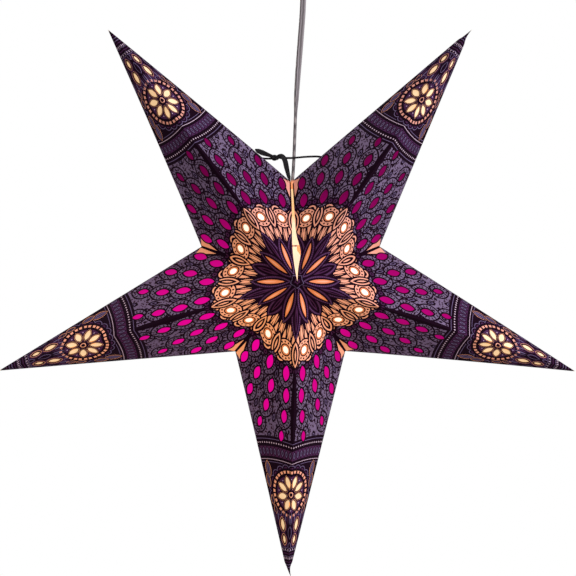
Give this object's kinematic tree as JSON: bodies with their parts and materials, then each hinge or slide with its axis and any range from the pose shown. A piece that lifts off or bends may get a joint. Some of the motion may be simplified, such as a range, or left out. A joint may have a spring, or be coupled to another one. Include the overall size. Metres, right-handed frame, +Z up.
{
  "type": "paper star lantern",
  "caption": "Hanging paper star lantern of folded printed card with tissue windows, a ribbon-tied seam, a lampholder inside and a flex to its ceiling fitting; it folds flat.",
  "frame": {"origin": "centre of the ceiling bracket's upper face, between its screw holes", "axes": "+Z up into the ceiling, -Y the way the star's front faces, +X to the right seen from the front"},
  "size_m": [0.5998, 0.1898, 0.6853],
  "materials": {
    "printed_card": "matt printed card",
    "white_tissue": "tissue, lit",
    "magenta_tissue": "tissue, lit",
    "cream_tissue": "tissue, lit",
    "cover_plastic": "satin moulded plastic",
    "bracket_steel": "zinc plated",
    "screw_steel": "zinc plated",
    "block_plastic": "plain",
    "grip_nylon": "satin nylon",
    "bead_rubber": "matt",
    "flex_pvc": "translucent grey twin flex",
    "holder_plastic": "satin moulded plastic",
    "insert_ceramic": "unglazed",
    "brass": "plain",
    "contact_metal": "tinned",
    "insulator_glass": "black glass",
    "cap_metal": "nickel plated",
    "lamp_glass": "opal",
    "stem_glass": "clear",
    "filament": "phosphor coated",
    "tie_ribbon": "woven ribbon"
  },
  "bodies": {
    "ceiling_fitting": {"ceiling_bracket": "bracket_steel", "rose_cover": "cover_plastic", "cover_screws": "screw_steel", "terminal_block": "block_plastic", "terminal_screws": "screw_steel", "cord_grip": "grip_nylon", "grip_nut": "grip_nylon", "flex_end": "flex_pvc"},
    "swivel_bead": {"swivel_bead": "bead_rubber"},
    "flex": {"lamp_flex": "flex_pvc", "cord_sleeve": "bead_rubber"},
    "lampholder": {"holder_cap": "holder_plastic", "holder_skirt": "holder_plastic", "holder_insert": "insert_ceramic", "screw_shell": "brass", "centre_contact": "brass", "lower_point": "printed_card", "lower_white_tissue": "white_tissue", "lower_magenta_tissue": "magenta_tissue", "lower_cream_tissue": "cream_tissue"},
    "lamp_contact": {"lamp_contact": "contact_metal", "lamp_insulator": "insulator_glass"},
    "lamp": {"lamp_cap": "cap_metal", "lamp_globe": "lamp_glass", "lamp_stem": "stem_glass", "lamp_filaments": "filament"},
    "right_point": {"right_point": "printed_card", "right_white_tissue": "white_tissue", "right_magenta_tissue": "magenta_tissue", "right_cream_tissue": "cream_tissue"},
    "upper_right_point": {"upper_right_point": "printed_card", "upper_right_white_tissue": "white_tissue", "upper_right_magenta_tissue": "magenta_tissue", "upper_right_cream_tissue": "cream_tissue", "tie_right": "tie_ribbon", "right_stopper": "tie_ribbon"},
    "left_point": {"left_point": "printed_card", "left_white_tissue": "white_tissue", "left_magenta_tissue": "magenta_tissue", "left_cream_tissue": "cream_tissue"},
    "upper_left_point": {"upper_left_point": "printed_card", "upper_left_white_tissue": "white_tissue", "upper_left_magenta_tissue": "magenta_tissue", "upper_left_cream_tissue": "cream_tissue", "tie_left": "tie_ribbon", "tie_knot": "tie_ribbon", "tie_tails": "tie_ribbon", "left_stopper": "tie_ribbon"}
  },
  "joints": [
    {"name": "swing_front_back", "type": "hinge", "parent": "ceiling_fitting", "child": "swivel_bead", "pos_m": [0, 0, -0.054], "axis": [1, 0, 0], "range_deg": [-20, 20], "deforming": ["lamp_flex"]},
    {"name": "swing_sideways", "type": "hinge", "parent": "swivel_bead", "child": "flex", "pos_m": [0, 0, -0.054], "axis": [0, 1, 0], "range_deg": [-20, 20], "deforming": ["lamp_flex"]},
    {"name": "star_turn", "type": "hinge", "parent": "flex", "child": "lampholder", "pos_m": [-0.012, 0, -0.279], "axis": [0, 0, 1], "range_deg": [-90, 90], "stiffness_Nm_per_rad": 0.002, "deforming": ["lamp_flex"]},
    {"name": "star_fold", "type": "hinge", "parent": "lampholder", "child": "right_point", "pos_m": [-0.012, 0, -0.37], "axis": [0, 1, 0], "range_deg": [0, 63], "deforming": ["upper_right_point", "upper_right_white_tissue", "upper_right_magenta_tissue", "upper_right_cream_tissue", "right_point", "right_white_tissue", "right_magenta_tissue", "right_cream_tissue", "lower_point", "lower_white_tissue", "lower_magenta_tissue", "lower_cream_tissue", "left_point", "left_white_tissue", "left_magenta_tissue", "left_cream_tissue", "upper_left_point", "upper_left_white_tissue", "upper_left_magenta_tissue", "upper_left_cream_tissue", "tie_left", "tie_right", "tie_knot", "tie_tails", "left_stopper", "right_stopper"]},
    {"name": "fold_upper_right", "type": "hinge", "parent": "right_point", "child": "upper_right_point", "pos_m": [-0.012, 0, -0.37], "axis": [0, 1, 0], "range_deg": [0, 63]},
    {"name": "fold_left", "type": "hinge", "parent": "lampholder", "child": "left_point", "pos_m": [-0.012, 0, -0.37], "axis": [0, 1, 0], "range_deg": [-63, 0]},
    {"name": "fold_upper_left", "type": "hinge", "parent": "left_point", "child": "upper_left_point", "pos_m": [-0.012, 0, -0.37], "axis": [0, 1, 0], "range_deg": [-63, 0]},
    {"name": "lamp_drop", "type": "slide", "parent": "lampholder", "child": "lamp_contact", "axis": [0, 0, 1], "range_m": [-0.01411, 0]},
    {"name": "lamp_turn", "type": "hinge", "parent": "lamp_contact", "child": "lamp", "pos_m": [-0.012, 0, -0.36], "axis": [0, 0, 1], "range_deg": [-1800, 0]}
  ],
  "couplings": [
    {"joint": "fold_upper_right", "follows": "star_fold", "ratio": 1},
    {"joint": "fold_left", "follows": "star_fold", "ratio": -1},
    {"joint": "fold_upper_left", "follows": "star_fold", "ratio": -1},
    {"joint": "lamp_drop", "follows": "lamp_turn", "m_per_rad": 0.00044882}
  ]
}
